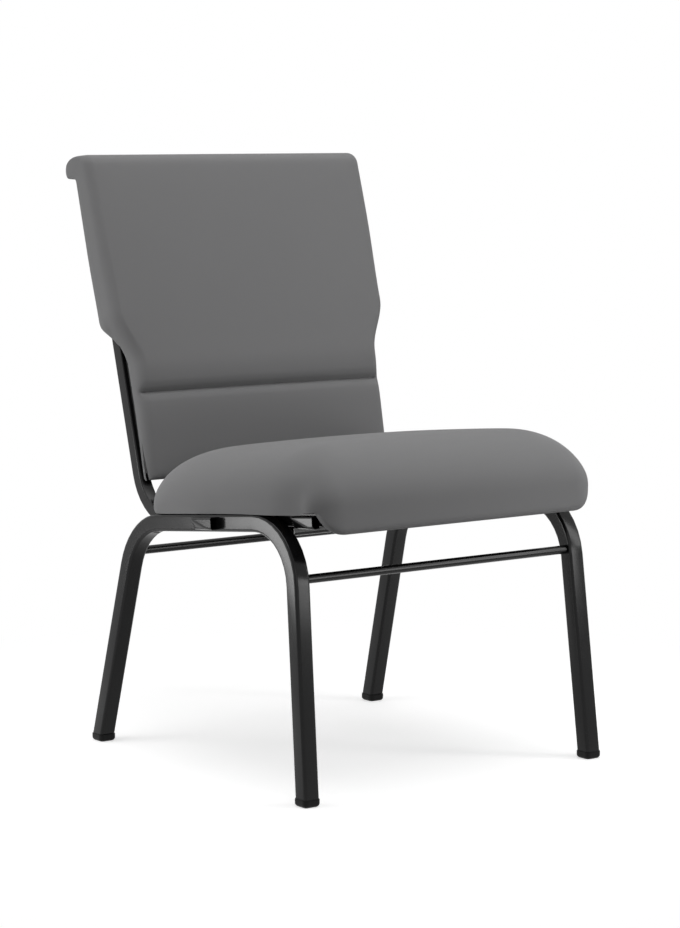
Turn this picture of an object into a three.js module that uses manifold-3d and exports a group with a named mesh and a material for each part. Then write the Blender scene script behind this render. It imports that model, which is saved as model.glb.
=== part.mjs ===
// Choir chair: a welded frame of bent square tube with an upholstered seat and a rolled-top back.
// Millimetres, +Z up. The sitter faces -Y, so the sitter's right is -X.
import * as THREE from 'three';
import * as BufferGeometryUtils from 'three/addons/utils/BufferGeometryUtils.js';
import Module from 'manifold-3d';

const wasm = await Module();
wasm.setup();

// Overall sizes: widths and depths of the pieces are told from these
const seatHalfWidth = 258;
const seatTubeReach = 408;
const backTop = 558;

// Stock and clearances
const tubeSize = 25.4;
const tubeCorner = 4.5;
const tubeWall = 1.6;
const rodRadius = 6.35;
const fit = 0.3;
const overrun = 5;

// Side frames: each is one tube bent into a front leg, a seat rail and a rear leg
const railInset = 12.5;
const frontCornerHeight = 387.2;
const railSetback = 9.7;
const railSlope = THREE.MathUtils.degToRad(6.2);
const frontLegRake = THREE.MathUtils.degToRad(6.3);
const rearLegRake = THREE.MathUtils.degToRad(15);
const legSplay = THREE.MathUtils.degToRad(1.6);
const frontBend = 87;
const rearBend = 99;
const frontBarHeight = 309;
const rearBarHeight = 299;

// Seat and back frame: one L of slimmer tube on each side, inboard of the side frame
const seatTubeSize = 19.05;
const seatTubeCorner = 2;
const seatTubeWall = 1.5;
const tubeSpread = 0.5;
const seatTubeOverhang = 38;
const backRake = THREE.MathUtils.degToRad(15.6);
const seatBend = 80.5;
const uprightRear = 12.4;
const uprightBelowTop = 61;
const crossmemberDrop = 8.5;
const frontCrossmemberAt = 62;
const rearCrossmemberSetback = 112;

// Feet and tube plugs
const footHeight = 11;
const footLip = 1.2;
const footRound = 5;
const plugDepth = 22;
const plugHead = 3;

// Sockets that join chairs into a row
const socketLength = 52;
const socketHeight = 18;
const socketDepth = 12.7;
const socketWall = 1.8;
const rearSocketAt = 171;

// Seat
const boardThickness = 12;
const dustCover = 0.8;
const boardInset = 22;
const boardOverhang = 44;
const boardSetback = 90;
const seatOverhang = 66;
const seatSetback = 29;
const seatTop = 104;
const seatWaist = 20;
const seatCrown = 4;
const seatFrontRound = 105;
const seatRearRound = 152;
const seatSideRound = 100;
const cushionPower = 2.3;
const skirtDrop = 3;
const skirtWidth = 1;
const seatPlanRadius = 50;
const seatRearPlanRadius = 57;
const lipDrop = 33;
const lipThickness = 12;
const lipInset = 40;
const lipRound = 26;
const lipFrontRadius = 7;
const lipRearRadius = 4;
const seatRearRadius = 6;
const seatShares = [0, 0.2, 0.4, 0.55, 0.68, 0.78, 0.85, 0.89, 0.92, 0.945, 0.97, 0.996, 1];

// Back, measured up the upright from where its centre line meets the seat rail's
const backBottom = 57;
const seamHeight = 190;
const wingStart = 231;
const wingFull = 314;
const lumbarInset = 30.5;
const wingInset = 1.5;
const padFront = 30.3;
const padRest = 13;
const padRear = 14.7;
const padCrown = 3;
const padFullness = 3;
const lumbarTaper = 8;
const rollRear = 31;
const rollDepth = 30;
const rollFrontRadius = 20;
const rollRearRadius = 13;
const rollFall = 2;
const rollNeckRadius = 4;
const rollHemRadius = 5;
const hemFront = 257;
const hemRear = 298;
const hemRound = 4;
const wingLead = 30;
const edgeShare = 0.9;
const climbShare = 0.3;
const padEdge = 20;
const padFootRearRadius = 1.5;
const padFootRadius = 7;
const lumbarFrontDraw = 15;
const wingFrontDraw = 19;
const lumbarRearDraw = 1;
const wingRearDraw = 17;
const rollEndDraw = 3;
const topFrontDraw = 15;
const topRearDraw = 3;
const footFrontDraw = 6;
const footRearDraw = 1.5;
const thirdShares = [0.33, 0.67];
const quarterShares = [0, 0.25, 0.5, 0.75, 1];
const wingShares = [0, 0.2, 0.4, 0.6, 0.8, 1];
const backShares = [0, 0.25, 0.5, 0.75, edgeShare, 0.93, 0.96, 0.98, 0.995, 1];
const panelLift = 16;
const panelTopRadius = 4;
const panelFootRadius = 8;
const channelDepth = 5;
const channelHalfHeight = 9;
const backBoardThickness = 9;
const backBoardInset = 33;
const backBoardOverhang = 2;
const backBoardBelowTop = 46;

// Screws
const screwRadius = 3;
const screwHeadRadius = 6;
const screwHeadHeight = 3;
const seatScrewOverlap = 110;
const seatScrewSetback = 136;
const backScrewsAt = [118, 228];
const backScrewInset = 4.3;
const shankShare = 0.8;

// Finishes
const steel = { color: 0x1b1b1c, roughness: 0.42, metalness: 0.35 };
const plastic = { color: 0x141414, roughness: 0.6, metalness: 0 };
const upholstery = { color: 0x6d6d6e, roughness: 0.78, metalness: 0 };
const plywood = { color: 0xb08a5b, roughness: 0.8, metalness: 0 };
const blackBoard = { color: 0x101010, roughness: 0.8, metalness: 0 };
const cloth = { color: 0x111112, roughness: 0.95, metalness: 0 };
const zinc = { color: 0x3a3a3c, roughness: 0.4, metalness: 0.8 };

const railHalfSpacing = seatHalfWidth - railInset;
const boardHalfWidth = seatHalfWidth - boardInset;
const lipHalfWidth = seatHalfWidth - lipInset;
const lumbarHalfWidth = seatHalfWidth - lumbarInset;
const wingHalfWidth = seatHalfWidth - wingInset;
const backBoardHalfWidth = seatHalfWidth - backBoardInset;
const railRun = seatTubeReach - railSetback;
const boardFront = -boardOverhang;
const boardRear = seatTubeReach - boardSetback;
const seatFront = -seatOverhang;
const seatRear = seatTubeReach - seatSetback;
const rearCrossmemberAt = seatTubeReach - rearCrossmemberSetback;
const seatScrewsAt = [seatScrewOverlap, seatTubeReach - seatScrewSetback];
const uprightLength = backTop - uprightBelowTop;
const backBoardTop = backTop - backBoardBelowTop;
const boardRadius = seatPlanRadius - boardInset;
const tubeHalf = tubeSize / 2;
const seatTubeHalf = seatTubeSize / 2;
const seatTubeHalfSpacing = railHalfSpacing - tubeHalf - tubeSpread - seatTubeHalf;
const backScrewSpacing = seatTubeHalfSpacing - backScrewInset;
const railTop = tubeHalf;
const seatTubeLift = railTop - seatTubeHalf;
const uprightSet = uprightRear - seatTubeHalf;
const uprightFront = uprightSet - seatTubeHalf;

// Turns a closed geometry into a solid, and a solid back into a geometry.
function solidOf(geometry) {
  const bare = geometry.clone();
  for (const name of Object.keys(bare.attributes)) {
    if (name !== 'position') bare.deleteAttribute(name);
  }
  const merged = BufferGeometryUtils.mergeVertices(bare, 1e-4);
  const mesh = new wasm.Mesh({
    numProp: 3,
    vertProperties: new Float32Array(merged.attributes.position.array),
    triVerts: new Uint32Array(merged.index.array),
  });
  return new wasm.Manifold(mesh);
}

function geometryOf(solid) {
  const mesh = solid.getMesh();
  const geometry = new THREE.BufferGeometry();
  geometry.setAttribute('position', new THREE.BufferAttribute(new Float32Array(mesh.vertProperties), 3));
  geometry.setIndex(new THREE.BufferAttribute(new Uint32Array(mesh.triVerts), 1));
  geometry.computeVertexNormals();
  return geometry;
}

// An outline with rounded corners: each corner is [x, y, radius], and a corner of radius 0 stays sharp.
function roundedOutline(corners, segments) {
  const points = [];
  corners.forEach(([x, y, radius], i) => {
    const corner = new THREE.Vector2(x, y);
    const before = new THREE.Vector2(...corners.at(i - 1));
    const after = new THREE.Vector2(...corners[(i + 1) % corners.length]);
    if (radius === 0) {
      points.push(corner);
      return;
    }
    const toBefore = before.sub(corner).normalize();
    const toAfter = after.sub(corner).normalize();
    const half = Math.acos(THREE.MathUtils.clamp(toBefore.dot(toAfter), -1, 1)) / 2;
    const inward = toBefore.clone().add(toAfter).normalize();
    const centre = inward.multiplyScalar(radius / Math.sin(half)).add(corner);
    const start = toBefore.clone().multiplyScalar(radius / Math.tan(half)).add(corner).sub(centre);
    const end = toAfter.clone().multiplyScalar(radius / Math.tan(half)).add(corner).sub(centre);
    let turn = end.angle() - start.angle();
    if (turn > Math.PI) turn -= 2 * Math.PI;
    if (turn < -Math.PI) turn += 2 * Math.PI;
    for (let k = 0; k <= segments; k += 1) {
      points.push(start.clone().rotateAround(new THREE.Vector2(), turn * k / segments).add(centre));
    }
  });
  return points;
}

function roundedRectangle(width, height, radius, segments) {
  const x = width / 2;
  const y = height / 2;
  return roundedOutline([[x, -y, radius], [x, y, radius], [-x, y, radius], [-x, -y, radius]], segments);
}

// A path of straight runs and bends in the YZ plane, known only at the stations where a section stands.
class BentPath extends THREE.Curve {
  constructor(corners, radii, segments) {
    super();
    this.stations = [];
    const put = (point, tangent) => this.stations.push({ point, tangent });
    const last = corners.length - 1;
    corners.forEach((corner, i) => {
      const out = i < last ? corners[i + 1].clone().sub(corner).normalize() : null;
      const back = i > 0 ? corners[i - 1].clone().sub(corner).normalize() : null;
      if (!back) put(corner, out);
      else if (!out) put(corner, back.clone().negate());
      else {
        const half = back.angleTo(out) / 2;
        const radius = radii[i - 1];
        const reach = radius / Math.tan(half);
        const inward = back.clone().add(out).normalize();
        const centre = inward.multiplyScalar(radius / Math.sin(half)).add(corner);
        const start = back.clone().multiplyScalar(reach).add(corner).sub(centre);
        const axis = back.clone().negate().cross(out).normalize();
        for (let k = 0; k <= segments; k += 1) {
          const turn = (Math.PI - 2 * half) * k / segments;
          put(
            start.clone().applyAxisAngle(axis, turn).add(centre),
            back.clone().negate().applyAxisAngle(axis, turn),
          );
        }
      }
    });
  }

  station(u) {
    return this.stations[Math.round(u * (this.stations.length - 1))];
  }

  getPointAt(u, target = new THREE.Vector3()) {
    return target.copy(this.station(u).point);
  }

  getTangentAt(u, target = new THREE.Vector3()) {
    return target.copy(this.station(u).tangent);
  }
}

// Hollow square tube along a bent path
function bentTube(corners, radii, segments, size, corner, wall) {
  const section = new THREE.Shape(roundedRectangle(size, size, corner, 3));
  const bore = size - 2 * wall;
  section.holes.push(new THREE.Path(roundedRectangle(bore, bore, corner - wall, 1)));
  const path = new BentPath(corners, radii, segments);
  return new THREE.ExtrudeGeometry(section, { steps: path.stations.length - 1, extrudePath: path });
}

// Extrudes an outline drawn in XY by a depth along Z, starting at Z = 0.
function plate(outline, depth, holes = []) {
  const shape = new THREE.Shape(outline);
  holes.forEach((hole) => shape.holes.push(new THREE.Path(hole)));
  return new THREE.ExtrudeGeometry(shape, { depth, bevelEnabled: false });
}

function circle(radius, x, y, segments = 12) {
  const points = [];
  for (let k = 0; k < segments; k += 1) {
    const turn = 2 * Math.PI * k / segments;
    points.push(new THREE.Vector2(x + radius * Math.cos(turn), y + radius * Math.sin(turn)));
  }
  return points;
}

// Joins a row of closed rings into a skin. Each end is closed by triangles that climb its two sides
// together, from the point where key is lowest to the point where it is highest.
function skin(rings, key) {
  const count = rings[0].length;
  const positions = rings.flat().flatMap((p) => [p.x, p.y, p.z]);
  const index = [];
  for (let r = 0; r + 1 < rings.length; r += 1) {
    for (let k = 0; k < count; k += 1) {
      const a = r * count + k;
      const b = r * count + (k + 1) % count;
      index.push(a, b, b + count, a, b + count, a + count);
    }
  }
  const close = (ring, base, flip) => {
    const keys = ring.map(key);
    const low = keys.indexOf(Math.min(...keys));
    const high = keys.indexOf(Math.max(...keys));
    const rise = (high - low + count) % count;
    const up = Array.from({ length: rise + 1 }, (_, k) => (low + k) % count);
    const other = Array.from({ length: count - rise - 1 }, (_, k) => (low - 1 - k + count) % count);
    let i = 0;
    let j = 0;
    while (i + 1 < up.length || j + 1 < other.length) {
      const first = j + 1 >= other.length || (i + 1 < up.length && keys[up[i + 1]] < keys[other[j + 1]]);
      const face = first ? [up[i], up[i + 1], other[j]] : [up[i], other[j + 1], other[j]];
      index.push(...(flip ? face.reverse() : face).map((k) => k + base));
      if (first) i += 1;
      else j += 1;
    }
  };
  close(rings[0], 0, true);
  close(rings.at(-1), (rings.length - 1) * count, false);
  const geometry = new THREE.BufferGeometry();
  geometry.setAttribute('position', new THREE.Float32BufferAttribute(positions, 3));
  geometry.setIndex(index);
  return facingOut(geometry);
}

// Turns every face over if the skin came out inside out.
function facingOut(geometry) {
  const p = geometry.attributes.position;
  const index = geometry.index.array;
  const [a, b, c] = [new THREE.Vector3(), new THREE.Vector3(), new THREE.Vector3()];
  let volume = 0;
  for (let i = 0; i < index.length; i += 3) {
    a.fromBufferAttribute(p, index[i]);
    b.fromBufferAttribute(p, index[i + 1]);
    c.fromBufferAttribute(p, index[i + 2]);
    volume += a.dot(b.cross(c));
  }
  if (volume < 0) {
    for (let i = 0; i < index.length; i += 3) [index[i], index[i + 1]] = [index[i + 1], index[i]];
  }
  geometry.computeVertexNormals();
  return geometry;
}

function box(low, high) {
  const size = new THREE.Vector3().subVectors(high, low);
  const centre = new THREE.Vector3().addVectors(low, high).multiplyScalar(0.5);
  return new THREE.BoxGeometry(size.x, size.y, size.z).translate(centre.x, centre.y, centre.z);
}

const vector = (x, y, z) => new THREE.Vector3(x, y, z);
const smoothstep = THREE.MathUtils.smoothstep;

function named(name, geometry, finish) {
  const mesh = new THREE.Mesh(geometry, new THREE.MeshStandardMaterial(finish));
  mesh.name = name;
  return mesh;
}

const chair = new THREE.Group();
chair.name = 'choir_chair';
const sides = [['right', -1], ['left', 1]];

// Corners of a side frame's centre line, in the frame's own plane
const frontCorner = vector(0, 0, frontCornerHeight);
const rearCorner = vector(0, railRun, frontCornerHeight - railRun * Math.tan(railSlope));
const frontFoot = vector(0, -frontCorner.z * Math.tan(frontLegRake), 0);
const rearFoot = vector(0, railRun + rearCorner.z * Math.tan(rearLegRake), 0);
const halfSpacingAt = (z) => railHalfSpacing + (frontCornerHeight - z) * Math.tan(legSplay);
const legAt = (foot, corner, z) => foot.y + (corner.y - foot.y) * z / corner.z;

// Side frames: the bent tube leans out by the splay, and its feet are cut level for the glides
function legFrame(side) {
  const below = (foot, corner) => foot.clone().sub(corner).normalize().multiplyScalar(overrun).add(foot);
  const corners = [below(frontFoot, frontCorner), frontCorner, rearCorner, below(rearFoot, rearCorner)];
  const tube = bentTube(corners, [frontBend, rearBend], 9, tubeSize, tubeCorner, tubeWall);
  tube.rotateY(-side * legSplay);
  tube.translate(side * halfSpacingAt(0), 0, 0);
  const reach = 2 * (railRun + rearCorner.z);
  const ground = box(vector(-reach, -reach, -reach), vector(reach, reach, footHeight + fit));
  return geometryOf(solidOf(tube).subtract(solidOf(ground)));
}

// Glide: a vertical collar with a rounded sole, and a plug that goes up into the sloping tube
function footGlide(side, foot, corner) {
  const lean = Math.abs(corner.y - foot.y) / corner.z;
  const width = tubeSize + 2 * footLip;
  const depth = tubeSize * Math.hypot(1, lean) + 2 * footLip;
  const at = (z) => vector(side * halfSpacingAt(z), legAt(foot, corner, z), z);
  const ring = (inset, z, centre) => roundedRectangle(
    width - 2 * inset,
    depth - 2 * inset,
    tubeCorner + footLip - inset * (tubeCorner + footLip) / (2 * footRound),
    3,
  ).map((p) => vector(centre.x + p.x, centre.y + p.y, z));
  const centre = at(footHeight);
  const rings = [];
  const steps = 4;
  for (let k = 0; k <= steps; k += 1) {
    const turn = Math.PI / 2 * k / steps;
    rings.push(ring(footRound * (1 - Math.sin(turn)), footRound * (1 - Math.cos(turn)), centre));
  }
  rings.push(ring(0, footHeight, centre));
  const collar = skin(rings, (p) => p.y);
  const bore = tubeSize - 2 * tubeWall - 3 * fit;
  const plugRing = (z) => roundedRectangle(bore, bore * Math.hypot(1, lean), tubeCorner - tubeWall, 1)
    .map((p) => vector(at(z).x + p.x, at(z).y + p.y, z));
  const plug = skin([plugRing(footHeight - footRound), plugRing(footHeight + plugDepth)], (p) => p.y);
  return geometryOf(solidOf(collar).add(solidOf(plug)));
}

for (const [word, side] of sides) {
  chair.add(named(`${word}_leg_frame`, legFrame(side), steel));
  chair.add(named(`${word}_front_foot_glide`, footGlide(side, frontFoot, frontCorner), plastic));
  chair.add(named(`${word}_rear_foot_glide`, footGlide(side, rearFoot, rearCorner), plastic));
}

// Round bars between the legs, butted to the tubes' inner faces
function legBar(foot, corner, height) {
  const lean = rodRadius * Math.tan(legSplay);
  const half = halfSpacingAt(height) - tubeHalf / Math.cos(legSplay) - lean - fit;
  const bar = new THREE.CylinderGeometry(rodRadius, rodRadius, 2 * half, 20);
  bar.rotateZ(Math.PI / 2);
  bar.translate(0, legAt(foot, corner, height), height);
  return bar;
}

chair.add(named('front_leg_bar', legBar(frontFoot, frontCorner, frontBarHeight), steel));
chair.add(named('rear_leg_bar', legBar(rearFoot, rearCorner, rearBarHeight), steel));

// Everything on the seat is placed along the rail: Y' runs back down its slope and Z' stands square to it
const seat = new THREE.Group();
seat.position.copy(frontCorner);
seat.rotation.x = -railSlope;
chair.add(seat);

// Everything on the back is placed along the upright: Z' runs up it and Y' points to the rear
const back = new THREE.Group();
back.position.set(0, seatTubeReach, 0);
back.rotation.x = railSlope - backRake;
seat.add(back);

// Seat and back tube: along under the seat, round a bend and up the back
const uprightLean = backRake - railSlope;
const uprightAt = (along) => vector(
  0,
  seatTubeReach + uprightSet * Math.cos(uprightLean) + along * Math.sin(uprightLean),
  along * Math.cos(uprightLean) - uprightSet * Math.sin(uprightLean),
);
const heel = (seatTubeLift + uprightSet * Math.sin(uprightLean)) / Math.cos(uprightLean);
const bendReach = seatBend * Math.tan((Math.PI / 2 - uprightLean) / 2);
const bendStart = uprightAt(heel).y - bendReach;
const bendEnd = heel + bendReach;
function drill(radius, length, turn, place) {
  const cutter = new THREE.CylinderGeometry(radius, radius, length, 12);
  cutter.applyMatrix4(turn);
  cutter.translate(place.x, place.y, place.z);
  return solidOf(cutter);
}
const acrossRail = new THREE.Matrix4().makeRotationX(Math.PI / 2);
const acrossUpright = new THREE.Matrix4().makeRotationX(-uprightLean);

function seatBackTube(side) {
  const corners = [vector(0, -seatTubeOverhang, seatTubeLift), uprightAt(heel), uprightAt(uprightLength)];
  let tube = solidOf(bentTube(corners, [seatBend], 9, seatTubeSize, seatTubeCorner, seatTubeWall));
  const hole = screwRadius + fit;
  const through = seatTubeSize + 2 * overrun;
  for (const at of seatScrewsAt) {
    tube = tube.subtract(drill(hole, through, acrossRail, vector(0, at, seatTubeLift)));
  }
  for (const at of backScrewsAt) {
    const place = uprightAt(at);
    tube = tube.subtract(drill(hole, through, acrossUpright, place.setX(-side * backScrewInset)));
  }
  return geometryOf(tube);
}

// Plastic plug in the open front end of the seat tube
function tubePlug() {
  const bore = seatTubeSize - 2 * seatTubeWall - 2 * fit;
  const head = plate(roundedRectangle(seatTubeSize, seatTubeSize, seatTubeCorner, 3), plugHead);
  const stem = plate(roundedRectangle(bore, bore, seatTubeCorner - seatTubeWall, 1), plugDepth + plugHead);
  const plug = geometryOf(solidOf(head).add(solidOf(stem)));
  plug.rotateX(-Math.PI / 2);
  plug.translate(0, -seatTubeOverhang - plugHead - fit, seatTubeLift);
  return plug;
}

for (const [word, side] of sides) {
  const tube = named(`${word}_seat_back_tube`, seatBackTube(side), steel);
  tube.position.x = side * seatTubeHalfSpacing;
  const plug = named(`${word}_seat_tube_plug`, tubePlug(), plastic);
  plug.position.x = side * seatTubeHalfSpacing;
  seat.add(tube, plug);
}

// Cross-members between the seat tubes; the front one sits a little low
function crossmember() {
  const half = seatTubeHalfSpacing - seatTubeHalf - fit;
  const bore = tubeSize - 2 * tubeWall;
  const tube = plate(
    roundedRectangle(tubeSize, tubeSize, tubeCorner, 3),
    2 * half,
    [roundedRectangle(bore, bore, tubeCorner - tubeWall, 1)],
  );
  tube.translate(0, 0, -half);
  tube.rotateY(Math.PI / 2);
  return tube;
}

const crossmembers = [
  ['front_crossmember', frontCrossmemberAt, crossmemberDrop],
  ['rear_crossmember', rearCrossmemberAt, 0],
];
for (const [name, at, drop] of crossmembers) {
  const member = named(name, crossmember(), steel);
  member.position.set(0, at, -drop);
  seat.add(member);
}

// Socket for a row link: a flat sleeve open at both ends
function linkSocket(side) {
  const sleeve = plate(
    roundedRectangle(socketDepth, socketHeight, 2 * socketWall, 3),
    socketLength,
    [roundedRectangle(socketDepth - 2 * socketWall, socketHeight - 2 * socketWall, socketWall, 2)],
  );
  sleeve.rotateX(-Math.PI / 2);
  return sleeve.translate(side * socketDepth / 2, 0, 0);
}

for (const [word, side] of sides) {
  const front = named(`${word}_front_link_socket`, linkSocket(side), steel);
  front.position.set(side * (seatTubeHalfSpacing + seatTubeHalf + fit), -seatTubeOverhang, 0);
  const rear = named(`${word}_rear_link_socket`, linkSocket(side), steel);
  const drop = Math.sin(railSlope) * rearSocketAt * Math.tan(legSplay);
  rear.position.set(side * (railHalfSpacing + tubeHalf + drop + 2 * fit), rearSocketAt, 0);
  seat.add(front, rear);
}

// Seat board, with the holes for its screws, and the cloth under it
const boardBottom = railTop + 2 * fit + dustCover;
const boardTop = boardBottom + boardThickness;
function seatPanel(thickness, shrink) {
  const x = boardHalfWidth - shrink;
  const outline = roundedOutline([
    [x, boardFront + shrink, boardRadius],
    [x, boardRear - shrink, boardRadius],
    [-x, boardRear - shrink, boardRadius],
    [-x, boardFront + shrink, boardRadius],
  ], 6);
  const holes = [];
  for (const at of seatScrewsAt) {
    for (const side of [-1, 1]) holes.push(circle(screwRadius + fit, side * seatTubeHalfSpacing, at));
  }
  return plate(outline, thickness, holes);
}

const seatBoard = named('seat_board', seatPanel(boardThickness, 0), plywood);
seatBoard.position.z = boardBottom;
const dust = named('seat_dust_cover', seatPanel(dustCover, overrun), cloth);
dust.position.z = railTop + fit;
seat.add(seatBoard, dust);

// A padded form: a closed side profile carried across the width, one ring at each station
function padded(profile, stations, place, key) {
  return skin(stations.map((station) => profile.map((point) => place(point, station))), key);
}

// Mirrors a half width's stations, which start at the middle, to both sides.
function bothSides(half) {
  return [...half.slice(1).reverse().map((share) => -share), ...half];
}

// Share of a rounding's height left at a distance past its start; a power of 2 is a quarter ellipse
function rounding(past, length, power = 2) {
  return Math.max(0, 1 - (Math.max(0, past) / length) ** power) ** (1 / power);
}

// Seat cushion: a crowned pad over the board, with a waterfall front that hangs below it as a lip
function seatCushion() {
  const underside = railTop + fit;
  const eased = (value, power) => Math.sign(value) * Math.abs(value) ** (2 / power);
  const arc = (y, z, length, height, steps, from, to, power = 2) => {
    const turns = Array.from({ length: steps + 1 }, (_, k) => THREE.MathUtils.lerp(from, to, k / steps));
    return turns.map((turn) => [
      y + length * eased(Math.cos(turn), power),
      z + height * eased(Math.sin(turn), power),
      0,
    ]);
  };
  const rise = seatTop - seatWaist;
  const profile = roundedOutline([
    [seatRear, underside, seatRearRadius],
    ...arc(seatRear - seatRearRound, seatWaist, seatRearRound, rise, 8, 0, Math.PI / 2, cushionPower),
    ...arc(seatFront + seatFrontRound, seatWaist, seatFrontRound, rise, 7, Math.PI / 2, Math.PI),
    [seatFront, underside - lipDrop, lipFrontRadius],
    [seatFront + lipThickness, underside - lipDrop, lipRearRadius],
    [seatFront + lipThickness, underside, 0],
  ], 4);
  const middleOfSeat = (seatFront + seatRear) / 2;
  const place = (point, share) => {
    const x = Math.abs(share) * seatHalfWidth;
    const inFront = point.x < middleOfSeat;
    const radius = inFront ? seatPlanRadius : seatRearPlanRadius;
    const inset = radius * (1 - rounding(x - seatHalfWidth + radius, radius));
    const reach = inFront ? middleOfSeat - seatFront : seatRear - middleOfSeat;
    const y = middleOfSeat + (point.x - middleOfSeat) * (1 - inset / reach);
    const crown = rounding(x - seatHalfWidth + seatSideRound, seatSideRound, cushionPower);
    const lip = rounding(x - lipHalfWidth, lipRound);
    const skirt = smoothstep(x, seatHalfWidth - skirtWidth, seatHalfWidth)
      * smoothstep(middleOfSeat - point.x, 0, middleOfSeat - seatFront);
    const middle = Math.max(0, 1 - ((point.x - middleOfSeat) / reach) ** 2) * (1 - share * share);
    let z = point.y;
    if (z > seatWaist) z = seatWaist + (z - seatWaist) * (crown + middle * seatCrown / rise);
    if (z < underside) z = underside + (z - underside) * lip;
    if (z < seatWaist) z -= skirtDrop * skirt * (1 - lip);
    return vector(Math.sign(share) * x, y, z);
  };
  const pad = solidOf(padded(profile, bothSides(seatShares), place, (p) => p.y));
  const recess = plate(roundedOutline([
    [boardHalfWidth + fit, boardFront - fit, boardRadius],
    [boardHalfWidth + fit, boardRear + fit, boardRadius],
    [-boardHalfWidth - fit, boardRear + fit, boardRadius],
    [-boardHalfWidth - fit, boardFront - fit, boardRadius],
  ], 6), boardThickness + fit + overrun);
  recess.translate(0, 0, boardBottom - overrun);
  const clear = seatBend - seatTubeHalf - 2 * fit;
  const bendTop = seatTubeLift + seatBend;
  const notch = new THREE.Shape([
    ...arc(bendStart, bendTop, clear, clear, 14, -Math.PI / 2, 0),
    [bendStart + seatBend, bendTop, 0],
    [bendStart + seatBend, 0, 0],
    [bendStart, 0, 0],
  ].map(([y, z]) => new THREE.Vector2(y, z)));
  const cutter = new THREE.ExtrudeGeometry(notch, { depth: seatTubeSize + 2 * fit, bevelEnabled: false });
  cutter.rotateY(Math.PI / 2);
  cutter.rotateX(Math.PI / 2);
  cutter.translate(-seatTubeHalf - fit, 0, 0);
  let cushion = pad.subtract(solidOf(recess));
  for (const side of [-1, 1]) {
    cushion = cushion.subtract(solidOf(cutter.clone().translate(side * seatTubeHalfSpacing, 0, 0)));
  }
  return geometryOf(cushion);
}

seat.add(named('seat_cushion', seatCushion(), upholstery));

// Half width of the back: narrow at the waist, so that it lies between the uprights' outer faces,
// and wide above, where the wings close round them
const backHalfWidthAt = (up) => lumbarHalfWidth
  + (wingHalfWidth - lumbarHalfWidth) * smoothstep(up, wingStart, wingFull);

const backBoardBottom = bendEnd - backBoardOverhang;

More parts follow.
